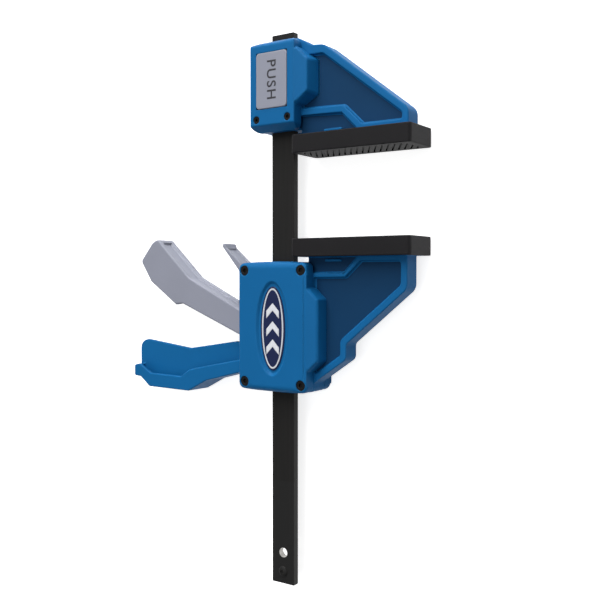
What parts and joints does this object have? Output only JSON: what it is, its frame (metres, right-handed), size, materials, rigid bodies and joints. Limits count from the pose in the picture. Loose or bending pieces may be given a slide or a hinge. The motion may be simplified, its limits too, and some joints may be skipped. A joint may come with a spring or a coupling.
{
  "type": "bar clamp",
  "caption": "One-handed bar clamp: flat steel bar, fixed jaw with a push-button lock, sliding jaw with pistol handle, squeeze trigger and release lever, soft pads.",
  "frame": {"origin": "centre of the through hole in the bar's free end, halfway through the bar", "axes": "+X from the bar to the jaw tips, +Y along the bar towards the fixed jaw, +Z out of the face with the push button; the clamp lies on its far covers"},
  "size_m": [0.2641, 0.416, 0.0356],
  "materials": {
    "bar_steel": "black oxide, drawn lengthwise",
    "zinc_steel": "zinc plated",
    "blue_plastic": "moulded, fine texture",
    "grey_plastic": "moulded, satin",
    "black_rubber": "moulded",
    "black_screw": "black oxide",
    "inlay_plastic": "pad printed, clear gloss"
  },
  "bodies": {
    "root": {"bar": "bar_steel", "stop_rivet": "bar_steel", "fixed_jaw": "blue_plastic", "head_front_cover": "blue_plastic", "head_back_cover": "blue_plastic", "head_screws": "black_screw", "lock_spring": "zinc_steel", "fixed_pad": "black_rubber"},
    "button": {"push_button": "grey_plastic", "lock_plunger": "zinc_steel"},
    "jaw": {"moving_jaw": "blue_plastic", "front_cover": "blue_plastic", "back_cover": "blue_plastic", "cover_screws": "black_screw", "oval_inlay": "inlay_plastic", "moving_pad": "black_rubber", "trigger_pin": "zinc_steel", "release_pin": "zinc_steel", "drive_spring": "zinc_steel", "brake_spring": "zinc_steel"},
    "trigger": {"trigger": "grey_plastic"},
    "drive": {"drive_plate_upper": "zinc_steel", "drive_plate_lower": "zinc_steel"},
    "release": {"release_lever": "grey_plastic"},
    "brake": {"brake_plate": "zinc_steel"}
  },
  "joints": [
    {"name": "jaw_slide", "type": "slide", "parent": "root", "child": "jaw", "axis": [0, 1, 0], "range_m": [-0.134, 0.0616]},
    {"name": "button_press", "type": "slide", "parent": "root", "child": "button", "axis": [0, 0, -1], "range_m": [0, 0.0042], "stiffness_N_per_m": 800, "springref_m": -0.003, "deforming": ["lock_spring"]},
    {"name": "trigger_swing", "type": "hinge", "parent": "jaw", "child": "trigger", "pos_m": [-0.017, 0.1685, 0], "axis": [0, 0, 1], "range_deg": [0, 26], "stiffness_Nm_per_rad": 0.5, "springref_deg": -11.46, "deforming": ["drive_spring"]},
    {"name": "drive_travel", "type": "slide", "parent": "jaw", "child": "drive", "axis": [0, -1, 0], "range_m": [0, 0.00295]},
    {"name": "release_swing", "type": "hinge", "parent": "jaw", "child": "release", "pos_m": [-0.018, 0.204, 0], "axis": [0, 0, 1], "range_deg": [0, 12], "stiffness_Nm_per_rad": 0.3, "springref_deg": -8.59, "deforming": ["brake_spring"]},
    {"name": "brake_tilt", "type": "hinge", "parent": "jaw", "child": "brake", "pos_m": [0.017, 0.195, 0], "axis": [0, 0, 1], "range_deg": [0, 1.8]}
  ],
  "couplings": [
    {"joint": "drive_travel", "follows": "trigger_swing", "m_per_rad": 0.0065},
    {"joint": "brake_tilt", "follows": "release_swing", "ratio": 0.145}
  ]
}
